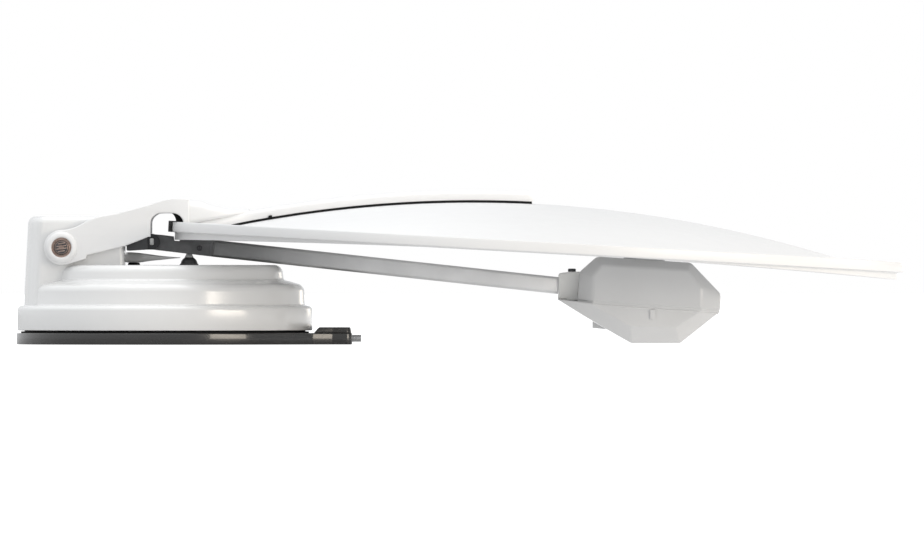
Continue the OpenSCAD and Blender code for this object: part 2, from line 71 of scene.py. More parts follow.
def fillet(pts, r, n=6):
    """Rounds each corner of a closed polygon; r is one radius or one per point."""
    out = []
    m = len(pts)
    for i in range(m):
        p = Vector(pts[i]); a = Vector(pts[i - 1]); b = Vector(pts[(i + 1) % m])
        rr = r[i] if isinstance(r, (list, tuple)) else r
        u = (a - p); v = (b - p)
        lu, lv = u.length, v.length
        if rr <= 0 or lu < 1e-9 or lv < 1e-9:
            out.append(tuple(p)); continue
        u /= lu; v /= lv
        ang = math.acos(max(-1, min(1, u.dot(v))))
        if ang > math.radians(178):
            out.append(tuple(p)); continue
        d = min(rr / math.tan(ang / 2), lu * 0.49, lv * 0.49)
        rr = d * math.tan(ang / 2)
        s = p + u * d; e = p + v * d
        c = p + (u + v).normalized() * (rr / math.sin(ang / 2))
        a0 = math.atan2(s.y - c.y, s.x - c.x); a1 = math.atan2(e.y - c.y, e.x - c.x)
        da = (a1 - a0 + math.pi) % TAU - math.pi
        for k in range(n + 1):
            t = a0 + da * k / n
            out.append((c.x + rr * math.cos(t), c.y + rr * math.sin(t)))
    return out


def new_obj(name, bm, smooth=35):
    me = bpy.data.meshes.new(name)
    bmesh.ops.recalc_face_normals(bm, faces=bm.faces)
    bm.to_mesh(me)
    bm.free()
    o = bpy.data.objects.new(name, me)
    bpy.context.scene.collection.objects.link(o)
    shade(o, smooth)
    return o


def shade(o, angle=35):
    me = o.data
    bm = bmesh.new(); bm.from_mesh(me)
    lim = math.radians(angle)
    for f in bm.faces:
        f.smooth = True
    for e in bm.edges:
        e.smooth = not (len(e.link_faces) == 2 and e.calc_face_angle(0) > lim)
    bm.to_mesh(me); bm.free()
    return o


def applied(o):
    """The object with its modifiers applied, as a plain mesh."""
    dg = bpy.context.evaluated_depsgraph_get()
    me = bpy.data.meshes.new_from_object(o.evaluated_get(dg))
    o.modifiers.clear()
    old = o.data
    o.data = me
    if isinstance(old, bpy.types.Mesh):
        bpy.data.meshes.remove(old)
    return o


def plate(name, loops, lo, hi, bevel=1.0, res=3, plane="XZ", matrix=None, smooth=35):
    """Closed outlines (the first is the outside, the rest are holes), made solid from lo to hi across the plane, with rounded edges."""
    cu = bpy.data.curves.new(name, "CURVE")
    cu.dimensions = "2D"
    cu.fill_mode = "BOTH"
    for loop in loops:
        sp = cu.splines.new("POLY")
        sp.points.add(len(loop) - 1)
        for p, q in zip(sp.points, loop):
            p.co = (q[0] * MM, q[1] * MM, 0, 1)
        sp.use_cyclic_u = True
    cu.extrude = max((hi - lo) / 2 - bevel, 0) * MM
    cu.bevel_depth = bevel * MM
    cu.bevel_resolution = res
    cu.offset = -bevel * MM
    o = bpy.data.objects.new(name + "_c", cu)
    bpy.context.scene.collection.objects.link(o)
    dg = bpy.context.evaluated_depsgraph_get()
    me = bpy.data.meshes.new_from_object(o.evaluated_get(dg))
    bpy.data.objects.remove(o); bpy.data.curves.remove(cu)
    mid = (lo + hi) / 2 * MM
    if plane == "XZ":
        m = Matrix.Translation((0, mid, 0)) @ Matrix.Rotation(math.pi / 2, 4, "X")
    else:
        m = Matrix.Translation((0, 0, mid))
    me.transform((matrix or Matrix()) @ m)
    bm = bmesh.new(); bm.from_mesh(me)
    bmesh.ops.remove_doubles(bm, verts=bm.verts, dist=2e-5)
    bpy.data.meshes.remove(me)
    return new_obj(name, bm, smooth)


def revolve(name, prof, n=192, matrix=None, smooth=35, closed=False):
    """Turns a profile of (radius, height) about Z."""
    bm = bmesh.new()
    rings = []
    for r, z in prof:
        if r < 1e-6:
            rings.append([bm.verts.new((0, 0, z * MM))])
        else:
            rings.append([bm.verts.new((r * MM * math.cos(TAU * i / n), r * MM * math.sin(TAU * i / n), z * MM)) for i in range(n)])
    pairs = list(zip(rings, rings[1:]))
    if closed:
        pairs.append((rings[-1], rings[0]))
    for a, b in pairs:
        for i in range(n):
            j = (i + 1) % n
            q = [a[i % len(a)], a[j % len(a)], b[j % len(b)], b[i % len(b)]]
            u = []
            for v in q:
                if v not in u:
                    u.append(v)
            if len(u) > 2:
                bm.faces.new(u)
    if matrix:
        bm.transform(matrix)
    return new_obj(name, bm, smooth)


def loft(name, sections, caps=True, closed=False, matrix=None, smooth=35):
    """Joins rings of points that all have the same length."""
    bm = bmesh.new()
    rings = [[bm.verts.new(Vector(p) * MM) for p in s] for s in sections]
    pairs = list(zip(rings, rings[1:]))
    if closed:
        pairs.append((rings[-1], rings[0]))
    for a, b in pairs:
        n = len(a)
        for i in range(n):
            j = (i + 1) % n
            bm.faces.new((a[i], a[j], b[j], b[i]))
    if caps and not closed:
        bm.faces.new(rings[0]); bm.faces.new(list(reversed(rings[-1])))
    if matrix:
        bm.transform(matrix)
    return new_obj(name, bm, smooth)


def solid(name, points, faces, bevel, seg=4, matrix=None, smooth=35, bevels=None):
    """A flat-sided body given by its corners and faces, with rounded edges."""
    bm = bmesh.new()
    vs = [bm.verts.new(Vector(p) * MM) for p in points]
    for f in faces:
        bm.faces.new([vs[i] for i in f])
    bmesh.ops.recalc_face_normals(bm, faces=bm.faces)
    if bevel:
        bmesh.ops.bevel(bm, geom=list(bm.edges), offset=bevel * MM, segments=seg, profile=0.5, affect="EDGES", clamp_overlap=True)
    if matrix:
        bm.transform(matrix)
    return new_obj(name, bm, smooth)


def join(name, objs):
    bm = bmesh.new()
    for o in objs:
        me = o.data
        me.transform(o.matrix_world)
        bm.from_mesh(me)
    me = bpy.data.meshes.new(name)
    bm.to_mesh(me); bm.free()
    out = bpy.data.objects.new(name, me)
    bpy.context.scene.collection.objects.link(out)
    for o in objs:
        bpy.data.objects.remove(o)
    return out


def boolean(a, b, op):
    m = a.modifiers.new("b", "BOOLEAN")
    m.operation = op; m.object = b; m.solver = "EXACT"
    applied(a)
    bpy.data.objects.remove(b)
    return a


def cyl_y(name, x, z, r, y0, y1, n=64):
    o = revolve(name, [(0, 0), (r, 0), (r, y1 - y0), (0, y1 - y0)], n,
                Matrix.Translation((x * MM, y1 * MM, z * MM)) @ Matrix.Rotation(math.pi / 2, 4, "X"))
    return o


def turned(name, x, z, y_out, side, prof, n=96):
    """A turned piece on an axis along Y. prof is (radius, depth inwards from y_out)."""
    pts = [(r, -d) for r, d in prof]
    m = Matrix.Translation((x * MM, side * y_out * MM, z * MM)) @ Matrix.Rotation(math.radians(90 if side < 0 else -90), 4, "X")
    return revolve(name, pts, n, m)


# ------------------------------------------------------------------ materials
def mat(name, color, rough=0.4, metal=0.0, rough_var=0.06, col_var=0.03, tone=None, grain=None, peel=None, brush=None,
        coat=0.0, coat_rough=0.1, spec=0.5, edge=None, dirt=0.0, rings=None, sheen=0.0, scale=14.0, streak=0.0, painted_shade_x=None):
    """Procedural surface. grain = (size in mm, strength) fine moulded texture; peel = (size, strength) paint orange peel;
    brush = (axis, fineness, strength); rings = (x, z) centre of turned marks about Y; edge = lighter or darker worn edges."""
    m = bpy.data.materials.new(name)
    m.use_nodes = True
    nt = m.node_tree
    nt.nodes.clear()
    N = nt.nodes.new; L = nt.links.new
    out = N("ShaderNodeOutputMaterial")
    p = N("ShaderNodeBsdfPrincipled")
    L(p.outputs[0], out.inputs[0])
    p.inputs["Metallic"].default_value = metal
    p.inputs["Specular IOR Level"].default_value = spec
    if coat:
        p.inputs["Coat Weight"].default_value = coat
        p.inputs["Coat Roughness"].default_value = coat_rough
    if sheen:
        p.inputs["Sheen Weight"].default_value = sheen
        p.inputs["Sheen Roughness"].default_value = 0.5
    tc = N("ShaderNodeTexCoord")
    obj = tc.outputs["Object"]
    big = N("ShaderNodeTexNoise"); big.inputs["Scale"].default_value = scale; big.inputs["Detail"].default_value = 5.0
    L(obj, big.inputs["Vector"])
    # colour: slow mottling between two close tones
    mix = N("ShaderNodeMix"); mix.data_type = "RGBA"
    c2 = tone or tuple(max(0.0, c * (1 - col_var * 2)) for c in color)
    mix.inputs[6].default_value = (*color, 1); mix.inputs[7].default_value = (*c2, 1)
    ramp = N("ShaderNodeMapRange")
    ramp.inputs["From Min"].default_value = 0.35; ramp.inputs["From Max"].default_value = 0.7
    L(big.outputs["Fac"], ramp.inputs["Value"]); L(ramp.outputs["Result"], mix.inputs[0])
    col = mix.outputs[2]
    if streak:
        mp = N("ShaderNodeMapping"); mp.inputs["Scale"].default_value = (60, 60, 3)
        L(obj, mp.inputs["Vector"])
        sn = N("ShaderNodeTexNoise"); sn.inputs["Scale"].default_value = 1.0; sn.inputs["Detail"].default_value = 4
        L(mp.outputs["Vector"], sn.inputs["Vector"])
        r2 = N("ShaderNodeMapRange"); r2.inputs["From Min"].default_value = 0.56; r2.inputs["From Max"].default_value = 0.76
        r2.inputs["To Max"].default_value = streak
        L(sn.outputs["Fac"], r2.inputs["Value"])
        mx = N("ShaderNodeMix"); mx.data_type = "RGBA"
        mx.inputs[7].default_value = tuple(c * 0.72 for c in color) + (1,)
        L(col, mx.inputs[6]); L(r2.outputs["Result"], mx.inputs[0])
        col = mx.outputs[2]
    if painted_shade_x:
        # painted shade: the colour is multiplied by a factor that ramps along X, given as (x0, factor, x1, factor)
        sx = N("ShaderNodeSeparateXYZ"); L(obj, sx.inputs[0])
        fr = N("ShaderNodeMapRange"); fr.interpolation_type = "SMOOTHSTEP"
        fr.inputs["From Min"].default_value = painted_shade_x[0]; fr.inputs["From Max"].default_value = painted_shade_x[2]
        fr.inputs["To Min"].default_value = painted_shade_x[1]; fr.inputs["To Max"].default_value = painted_shade_x[3]
        L(sx.outputs[0], fr.inputs["Value"])
        fc = N("ShaderNodeCombineColor")
        for i in range(3):
            L(fr.outputs["Result"], fc.inputs[i])
        fm_ = N("ShaderNodeMix"); fm_.data_type = "RGBA"; fm_.blend_type = "MULTIPLY"; fm_.inputs[0].default_value = 1.0
        L(col, fm_.inputs[6]); L(fc.outputs[0], fm_.inputs[7])
        col = fm_.outputs[2]
    if edge:
        geo = N("ShaderNodeNewGeometry")
        er = N("ShaderNodeMapRange"); er.inputs["From Min"].default_value = 0.52; er.inputs["From Max"].default_value = 0.60
        er.inputs["To Max"].default_value = edge[1]
        L(geo.outputs["Pointiness"], er.inputs["Value"])
        nz = N("ShaderNodeTexNoise"); nz.inputs["Scale"].default_value = 160.0; nz.inputs["Detail"].default_value = 6
        L(obj, nz.inputs["Vector"])
        ml = N("ShaderNodeMath"); ml.operation = "MULTIPLY"
        L(er.outputs["Result"], ml.inputs[0]); L(nz.outputs["Fac"], ml.inputs[1])
        em = N("ShaderNodeMix"); em.data_type = "RGBA"; em.inputs[7].default_value = (*edge[0], 1)
        L(col, em.inputs[6]); L(ml.outputs[0], em.inputs[0])
        col = em.outputs[2]
    L(col, p.inputs["Base Color"])
    # roughness: smudges and fine variation
    rn = N("ShaderNodeTexNoise"); rn.inputs["Scale"].default_value = scale * 6; rn.inputs["Detail"].default_value = 8; rn.inputs["Roughness"].default_value = 0.65
    L(obj, rn.inputs["Vector"])
    rr = N("ShaderNodeMapRange")
    rr.inputs["From Min"].default_value = 0.3; rr.inputs["From Max"].default_value = 0.7
    rr.inputs["To Min"].default_value = max(0.02, rough - rough_var); rr.inputs["To Max"].default_value = min(1.0, rough + rough_var)
    L(rn.outputs["Fac"], rr.inputs["Value"]); L(rr.outputs["Result"], p.inputs["Roughness"])
    # bump, coarse to fine
    normal = None

    def bump(height, strength, dist):
        nonlocal normal
        b = N("ShaderNodeBump"); b.inputs["Strength"].default_value = strength; b.inputs["Distance"].default_value = dist * MM
        L(height, b.inputs["Height"])
        if normal is not None:
            L(normal, b.inputs["Normal"])
        normal = b.outputs["Normal"]
    if peel:
        pn = N("ShaderNodeTexNoise"); pn.inputs["Scale"].default_value = 1.0 / (peel[0] * MM); pn.inputs["Detail"].default_value = 2
        L(obj, pn.inputs["Vector"]); bump(pn.outputs["Fac"], peel[1], 0.15)
    if grain:
        gv = N("ShaderNodeTexVoronoi"); gv.feature = "SMOOTH_F1"; gv.inputs["Scale"].default_value = 1.0 / (grain[0] * MM)
        gv.inputs["Randomness"].default_value = 1.0
        L(obj, gv.inputs["Vector"]); bump(gv.outputs["Distance"], grain[1], 0.12)
    if brush:
        mp = N("ShaderNodeMapping")
        s = [brush[1]] * 3; s[brush[0]] = brush[1] * 0.02
        mp.inputs["Scale"].default_value = s
        L(obj, mp.inputs["Vector"])
        bn = N("ShaderNodeTexNoise"); bn.inputs["Scale"].default_value = 1.0; bn.inputs["Detail"].default_value = 6
        L(mp.outputs["Vector"], bn.inputs["Vector"]); bump(bn.outputs["Fac"], brush[2], 0.08)
    if rings:
        mp = N("ShaderNodeMapping"); mp.inputs["Location"].default_value = (-rings[0] * MM, 0, -rings[1] * MM)
        mp.inputs["Scale"].default_value = (1, 0.0, 1)
        L(obj, mp.inputs["Vector"])
        vl = N("ShaderNodeVectorMath"); vl.operation = "LENGTH"
        L(mp.outputs["Vector"], vl.inputs[0])
        mm = N("ShaderNodeMath"); mm.operation = "MULTIPLY"; mm.inputs[1].default_value = rings[2]
        L(vl.outputs["Value"], mm.inputs[0])
        sn = N("ShaderNodeMath"); sn.operation = "SINE"
        L(mm.outputs[0], sn.inputs[0]); bump(sn.outputs[0], 0.6, 0.06)
    if normal is not None:
        L(normal, p.inputs["Normal"])
    return m


M = {}
M["shell"] = mat("shell_white", (0.80, 0.80, 0.795), 0.20, rough_var=0.05, col_var=0.012, peel=(3.5, 0.03), coat=1.0, coat_rough=0.16, scale=9, edge=((0.84, 0.84, 0.83), 0.25))
M["arm"] = mat("arm_white", (0.80, 0.80, 0.80), 0.34, rough_var=0.06, col_var=0.012, peel=(1.6, 0.10), coat=0.15, coat_rough=0.25, scale=12, edge=((0.86, 0.86, 0.855), 0.3))
# the reflector's colour falls from 1.0 at X 0.20 m to 0.84 at X 0.52 m and beyond: painted shade on its right part
M["dish"] = mat("reflector_white", (0.785, 0.785, 0.785), 0.36, rough_var=0.05, col_var=0.010, peel=(1.4, 0.10), coat=0.1, coat_rough=0.3, scale=7, painted_shade_x=(0.20, 1.0, 0.52, 0.84))
M["base"] = mat("base_black", (0.018, 0.017, 0.016), 0.24, rough_var=0.06, col_var=0.1, grain=(0.9, 0.04), coat=0.7, coat_rough=0.07, scale=20, edge=((0.07, 0.068, 0.064), 0.6))
M["cover"] = mat("cover_black", (0.022, 0.021, 0.020), 0.28, rough_var=0.06, col_var=0.1, grain=(0.8, 0.10), coat=0.2, coat_rough=0.2, scale=24, edge=((0.08, 0.078, 0.074), 0.6))
M["bracket"] = mat("bracket_dark", (0.045, 0.046, 0.049), 0.42, metal=0.35, rough_var=0.08, col_var=0.12, peel=(0.9, 0.18), scale=40, edge=((0.25, 0.25, 0.25), 0.5))
M["hinge"] = mat("hinge_dark", (0.165, 0.167, 0.171), 0.42, metal=0.3, rough_var=0.1, col_var=0.15, grain=(0.7, 0.2), scale=45, edge=((0.35, 0.35, 0.36), 0.5))
# the tube's colour falls to 0.34 from X 0.24 m down to X 0.055 m: painted shade at the hinge end, under the reflector
# and above the housing
M["tube"] = mat("tube_grey", (0.73, 0.732, 0.735), 0.36, metal=0.7, rough_var=0.08, col_var=0.06, brush=(0, 900, 0.25), scale=22, streak=0.0, painted_shade_x=(0.055, 0.34, 0.24, 1.0), edge=((0.6, 0.6, 0.6), 0.4))
M["steel"] = mat("steel", (0.56, 0.565, 0.57), 0.26, metal=1.0, rough_var=0.08, col_var=0.06, brush=(0, 700, 0.15), scale=60)
M["dark_steel"] = mat("dark_steel", (0.10, 0.10, 0.105), 0.36, metal=0.9, rough_var=0.1, col_var=0.1, peel=(0.6, 0.12), scale=80)
M["bronze"] = mat("bronze", (0.50, 0.385, 0.335), 0.30, metal=1.0, rough_var=0.1, col_var=0.12, rings=(PIV[0], PIV[1], 5200.0), scale=120, tone=(0.33, 0.245, 0.21))
M["rubber"] = mat("rubber_black", (0.007, 0.007, 0.0075), 0.68, rough_var=0.1, col_var=0.1, grain=(0.5, 0.2), scale=50, spec=0.22)
M["bumper"] = mat("bumper_rubber", (0.085, 0.087, 0.09), 0.40, rough_var=0.1, col_var=0.12, grain=(0.6, 0.12), scale=60, coat=0.3, coat_rough=0.2)
M["guide"] = mat("guide_grey", (0.89, 0.892, 0.892), 0.38, rough_var=0.06, col_var=0.02, grain=(0.5, 0.08), scale=40)
M["head"] = mat("head_grey", (0.60, 0.603, 0.605), 0.36, rough_var=0.06, col_var=0.02, grain=(0.55, 0.08), scale=18, coat=0.5, coat_rough=0.16, edge=((0.70, 0.702, 0.704), 0.35))
# a lighter copy of the head grey, used on the lower shell, its latches and the seam lip: painted light standing in for
# the floor light on these downward faces
M["head_lo"] = mat("head_light", (0.64, 0.642, 0.643), 0.36, rough_var=0.06, col_var=0.02, grain=(0.55, 0.08), scale=18, coat=0.5, coat_rough=0.16, edge=((0.74, 0.742, 0.744), 0.35))
M["cap"] = mat("cap_white", (0.78, 0.78, 0.765), 0.42, rough_var=0.06, col_var=0.015, grain=(0.6, 0.08), scale=30)
M["alloy"] = mat("alloy", (0.60, 0.605, 0.61), 0.38, metal=1.0, rough_var=0.1, col_var=0.05, brush=(1, 500, 0.2), scale=30)
M["motor"] = mat("motor_grey", (0.16, 0.165, 0.17), 0.35, metal=0.6, rough_var=0.08, col_var=0.08, peel=(0.8, 0.12), scale=40)
M["ivory"] = mat("gear_ivory", (0.62, 0.59, 0.50), 0.5, rough_var=0.06, col_var=0.03, grain=(0.5, 0.1), scale=40)
M["brass"] = mat("gear_brass", (0.56, 0.39, 0.15), 0.28, metal=1.0, rough_var=0.1, col_var=0.08, brush=(2, 600, 0.2), scale=60)
M["board"] = mat("board_green", (0.02, 0.13, 0.05), 0.35, rough_var=0.1, col_var=0.2, grain=(1.2, 0.15), scale=120, coat=0.4)

CAD_MAT = {
    "base_plate": "base", "extension_cover": "cover", "cover_screws": "dark_steel", "coax_sockets": "steel", "skirt_seal": "rubber",
    "slew_ring_outer": "alloy", "ring_gear": "ivory", "slew_ring_inner": "alloy", "slew_screws": "steel", "turntable": "alloy",
    "housing_shell": "shell", "housing_screws": "steel", "elevation_frame": "alloy", "elevation_bushes": "bronze", "elevation_motor": "motor",
    "elevation_pinion": "brass", "azimuth_motor": "motor", "azimuth_pinion": "brass", "control_board": "board", "board_standoffs": "brass",
    "cable_guide": "guide", "guide_grommet": "rubber", "bumper_pad": "bumper", "bumper_stem": "steel", "yoke_arm": "arm",
    # elevation_shaft is a steel shaft, made dark so that its end reads dark between the bronze bars of the shaft end:
    # real steel, with painted shade in those gaps
    "elevation_shaft": "dark_steel", "shaft_collars": "bronze", "elevation_gear": "ivory", "back_rib": "arm", "rib_gasket": "rubber",
    # rim_buffer: black rubber wedge and strip between the arch and the rim's left end, placed where that spot lies in
    # shade; its darkness is painted shade
    "reflector": "dish", "rim_buffer": "rubber", "rib_bolts": "steel", "hinge_bracket": "bracket", "feed_pin": "dark_steel", "feed_spring": "steel",
    "feed_hinge": "hinge", "feed_tube": "tube", "hinge_bolts": "dark_steel", "head_neck": "head", "neck_screw": "dark_steel",
    "head_upper_shell": "head", "head_lower_shell": "head_lo", "head_latches": "head_lo", "head_gland": "head", "receiver": "alloy",
    "horn_cap": "cap", "skew_gear": "ivory", "skew_pinion": "brass", "skew_motor": "motor"}
for n, o in NODE.items():
    o.data.materials.clear()
    o.data.materials.append(M[CAD_MAT[n]])


def piece(o, body, m, slot, *nodes):
    o.data.materials.clear()
    o.data.materials.append(M[m])
    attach(o, body)
    if nodes:
        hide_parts(*nodes)
    return o


# ------------------------------------------------------------------ base plate and extension
ext = [(115, 127.9), (172, 72), (195, 64), (213, 62.5), (217, 58)]
outline = [(172 * math.cos(math.radians(a)), 172 * math.sin(math.radians(a))) for a in [48 + (360 - 96) * i / 150 for i in range(151)]]
outline += fillet([(x, -y) for x, y in ext] + [(x, y) for x, y in reversed(ext)], [0, 14, 10, 6, 3, 3, 6, 10, 14, 0], 5)[1:-1]
base = plate("base_casting", [outline], 0, 13.1, bevel=1.1, res=3, plane="XY")
for i in range(6):
    a = math.radians(i * 60 + 30)
    c = revolve("h", [(0, -1), (2.5, -1), (2.5, 9), (0, 10)], 32, Matrix.Translation((0.145 * math.cos(a), 0.145 * math.sin(a), 0)))
    boolean(base, c, "DIFFERENCE")
c = solid("h", [(180, -50, 2), (211, -50, 2), (211, 50, 2), (180, 50, 2), (180, -50, 15), (211, -50, 15), (211, 50, 15), (180, 50, 15)],
          [(0, 1, 2, 3), (4, 5, 6, 7), (0, 1, 5, 4), (1, 2, 6, 5), (2, 3, 7, 6), (3, 0, 4, 7)], 0)
boolean(base, c, "DIFFERENCE")
for s in (-1, 1):
    c = revolve("h", [(0, 205), (3.3, 205), (3.3, 225), (0, 225)], 40, Matrix.Translation((0, s * 0.022, 0.007)) @ Matrix.Rotation(math.pi / 2, 4, "Y"))
    boolean(base, c, "DIFFERENCE")
shade(base, 30)
piece(base, "base", "base", "base_black", "base_plate")

# cover of the extension: ramp, flat top and a slightly raked end, all edges eased
cov = solid("extension_lid",
            [(172.9, -70, 13.1), (195, -63.2, 13.1), (212.5, -61.7, 13.1), (216.2, -57.5, 13.1), (216.2, 57.5, 13.1), (212.5, 61.7, 13.1), (195, 63.2, 13.1), (172.9, 70, 13.1),
             (178.8, -68, 19.8), (195, -63.0, 19.8), (211.6, -61.3, 19.8), (214.9, -57.2, 19.8), (214.9, 57.2, 19.8), (211.6, 61.3, 19.8), (195, 63.0, 19.8), (178.8, 68, 19.8)],
            [tuple(range(8)), tuple(range(8, 16))] + [(i, (i + 1) % 8, 8 + (i + 1) % 8, 8 + i) for i in range(8)], 1.0, 3)
for x in (188, 206):
    for s in (-1, 1):
        c = revolve("h", [(0, 18.0), (4, 18.0), (4, 22), (0, 22)], 40, Matrix.Translation((x * MM, s * 0.055, 0)))
        boolean(cov, c, "DIFFERENCE")
shade(cov, 30)
piece(cov, "base", "cover", "cover_black", "extension_cover")

# ------------------------------------------------------------------ housing: stepped dome with its tower, one shell
R1, R2, R3, TOP = 171.0, 162.0, 137.0, 92.0


def dome(d=0.0):
    p = [(0, 16.1)]
    p += arc(R1 - 1.2 - d, 17.3, 1.2, -90, 0, 3) if d == 0 else [(R1 - d, 10)]
    p += arc(R1 - 5.5 - d, 39.4, 5.5, 0, 78, 8)
    p += arc(R2 + 2.2 - d, 47.2 - d * 0.6, 2.0, -100, -178, 5)
    p += arc(R2 - 10.2 - d, 60.6 - d * 0.4, 9.8, 3, 76, 10)
    p += [(R3 + 8.0 - d, 72.9 - d)]
    p += arc(R3 + 3.4 - d, 77.2 - d, 3.0, -104, -176, 5)
    p += arc(R3 - 10.2 - d, TOP - 10 - d, 10, 2, 90, 12)
    p += [(60, TOP - d), (0, TOP - d)]
    return p


def tower_plan(d, grow=0.0):
    rr = 163.6 - d + grow
    hw = 70 - d + grow
    fx = -46.4 - d + grow
    a = math.degrees(math.asin(min(1, (hw - 1e-6) / rr)))
    pts = [(rr * math.cos(math.radians(t)), rr * math.sin(math.radians(t))) for t in [180 - a + 2 * a * i / 14 for i in range(15)]]
    pts += [(fx, -hw), (fx, hw)]
    rads = [9] + [0] * 13 + [9, 7, 7]
    return fillet(pts, rads, 6)


def tower(name, d):
    """Stack of plan sections; the rear wall leans in a little and the top edge is rounded."""
    secs = []
    zs = [(40 if d else 30), 60, 92, 112, 126, 134]
    top = 148.2 - d
    for z in zs:
        secs.append((z, 0.0))
    R = 8.0
    for i in range(9):
        t = math.radians(90 * i / 8)
        secs.append((top - R + R * math.sin(t), R * (1 - math.cos(t))))
    rings = []
    base_ring = tower_plan(d)
    cxm = -105.0
    for z, inn in secs:
        ring = []
        lean_b = max(0.0, (z - 45) / 100) * 5.2
        dz = z - PIV[1]
        fr = math.sqrt(max(0.0, (72 - d) ** 2 - dz * dz)) if dz > 0 else 72 - d
        front_x = min(-46.4 - d, PIV[0] + fr) if dz > 0 else -46.4 - d
        for x, y in base_ring:
            # scale in from the outline by inn, along its inward direction
            sx = 1 - inn / 58.0 if x > cxm else 1 - inn / 58.0
            sy = 1 - inn / (70.0 - d)
            t = (x + 163.6 - d) / (163.6 - d - 46.4 - d)
            t = max(0, min(1, t))
            nx = x + lean_b * (1 - t) ** 2 + (front_x - (-46.4 - d)) * t ** 3
            nx = cxm + (nx - cxm) * sx
            ring.append((nx, y * sy, z))
        rings.append(ring)
    return loft(name, rings)


shell = revolve("housing_outer", dome(), 220)
boolean(shell, tower("t", 0), "UNION")
inner = revolve("i", dome(2.8), 160)
boolean(shell, inner, "DIFFERENCE")
boolean(shell, tower("t", 2.8), "DIFFERENCE")
c = cyl_y("c", PIV[0], PIV[1], 12.4, -90, 90)
boolean(shell, c, "DIFFERENCE")
shade(shell, 32)
piece(shell, "turret", "shell", "shell_white", "housing_shell")

# ------------------------------------------------------------------ bumper, cable guide
pad = revolve("bumper_dome", [(4, 0)] + [(10.7, 0), (11.0, 0.5), (10.8, 1.2), (10.2, 1.5)] + arc(0, 0, 10.0, 8, 61, 12) + [(4.6, 9.1), (4.0, 8.8)], 72,
              Matrix.Translation((0.028, 0, 0.092)), closed=True)
piece(pad, "turret", "bumper", "bumper_rubber", "bumper_pad")
stem = revolve("bumper_post", [(0, 0), (4, 0), (4, 9.0), (5.0, 8.9), (5.0, 9.6), (4.2, 10.6), (3.6, 12.0), (3.3, 13.3), (2.9, 13.9), (1.6, 13.9), (1.4, 13.2), (0, 13.2)], 56, Matrix.Translation((0.028, 0, 0.092)))
piece(stem, "turret", "guide", "guide_grey", "bumper_stem")
gt = spline([(-46.2, 106.4), (-43.0, 106.8), (-32, 106.0), (-18, 104.2), (-4, 102.6), (8, 101.5), (17.6, 100.9)], 5)
gb = spline([(17.6, 100.2), (8, 99.3), (-4, 98.0), (-14, 96.8), (-27, 94.9), (-38, 94.6), (-46.2, 95.4)], 5)
guide = []
for i in range(len(gt)):
    x, zt = gt[i]
    xb, zb = gb[len(gt) - 1 - i]
    zc = (zt + zb) / 2; h = (zt - zb) / 2
    w = 9.0 * (0.32 + 0.68 * (1 - i / (len(gt) - 1)) ** 0.6)
    guide.append([((x + xb) / 2, w * math.copysign(abs(math.cos(a)) ** 0.6, math.cos(a)), zc + h * math.copysign(abs(math.sin(a)) ** 0.7, math.sin(a)))
                  for a in [TAU * k / 28 for k in range(28)]])
g = loft("cable_horn", guide)
piece(g, "turret", "guide", "guide_grey", "cable_guide")
gr = revolve("grommet_ring", [(0, 0), (7, 0), (7, 1.6), (6.4, 2.4), (5.2, 2.65), (3.4, 2.4), (0, 2.3)], 56, Matrix.Translation((-0.036, 0, 0.092)))
piece(gr, "turret", "rubber", "rubber_black", "guide_grommet")

# ------------------------------------------------------------------ fork arm
top = [(-118.9, PIV[1] + HUB_R), (-112, 133.2), (-104, 135.4), (-97, 138.6), (-90, 142.6), (-82, 146.2), (-72, 148.8), (-56.8, 151.4), (-42.9, 155.2), (-22, 160.6),
       (-8.1, 165.1), (2, 168.0), (12, 169.1), (29, 168.4)]
low = [(-15.7, 124.8), (-18.6, 124.5), (-25.5, 121.6), (-46.4, 113.6), (-89.3, 103.4), (-90.2, 99.2), (-104, 95.0), (-112, 92.7), (-118.9, PIV[1] - HUB_R)]
arch = [(29, 141), (22.2, 141)] + spline([(22.0, 141.6), (21.2, 144.8), (18.6, 148.2), (14.4, 150.9), (9, 151.9), (-4, 151.9), (-9.0, 150.6), (-13.0, 147.4), (-15.2, 143.6), (-15.7, 139.5)], 4)
hub = arc(PIV[0], PIV[1], HUB_R, 270, 90, 28)[1:-1]
prof = spline(top, 4) + arch + low + hub
arms = []
for s in (-1, 1):
    lo, hi = (72, 82) if s > 0 else (-82, -72)
    p = plate("arm_side", [prof], lo, hi, bevel=1.6, res=4)
    c = cyl_y("c", PIV[0], PIV[1], 12.4, min(lo, hi) - 8, max(lo, hi) + 8)
    boolean(p, c, "DIFFERENCE")
    # raised ring round the pivot, with the turned recess inside it
    boss = turned("boss", PIV[0], PIV[1], 86, s, [(12.4, 9.0), (12.4, 2.6), (11.7, 2.2), (11.5, 1.5), (11.7, 0.8), (12.3, 0.25), (13.2, 0.0), (14.2, 0.15), (15.4, 0.6), (16.6, 1.3), (17.6, 2.2), (18.3, 3.3), (18.6, 4.4), (18.7, 9.0)])
    bm = bmesh.new(); bm.from_mesh(boss.data)
    bmesh.ops.holes_fill(bm, edges=[e for e in bm.edges if e.is_boundary], sides=0)
    bm.free()
    arms += [p, boss]
arm = join("fork_sides", arms)
shade(arm, 32)
piece(arm, "fork", "arm", "arm_white", "yoke_arm")

hump = [(-20, 154.4), (-20.4, 160.9), (-8.1, 165.1), (4, 168.5), (12.8, 169.1), (29, 168.4), (28.6, 141), (22.4, 143), (16, 151.4), (9, 154.4)]
br = plate("fork_bridge", [fillet(hump, [2, 3, 8, 8, 8, 6, 2, 3, 6, 4], 4)], -72.2, 72.2, bevel=1.2, res=3)
piece(br, "fork", "arm", "arm_white")


def back(r):
    return DEEP * (1 - (r / RIM_R) ** 2)


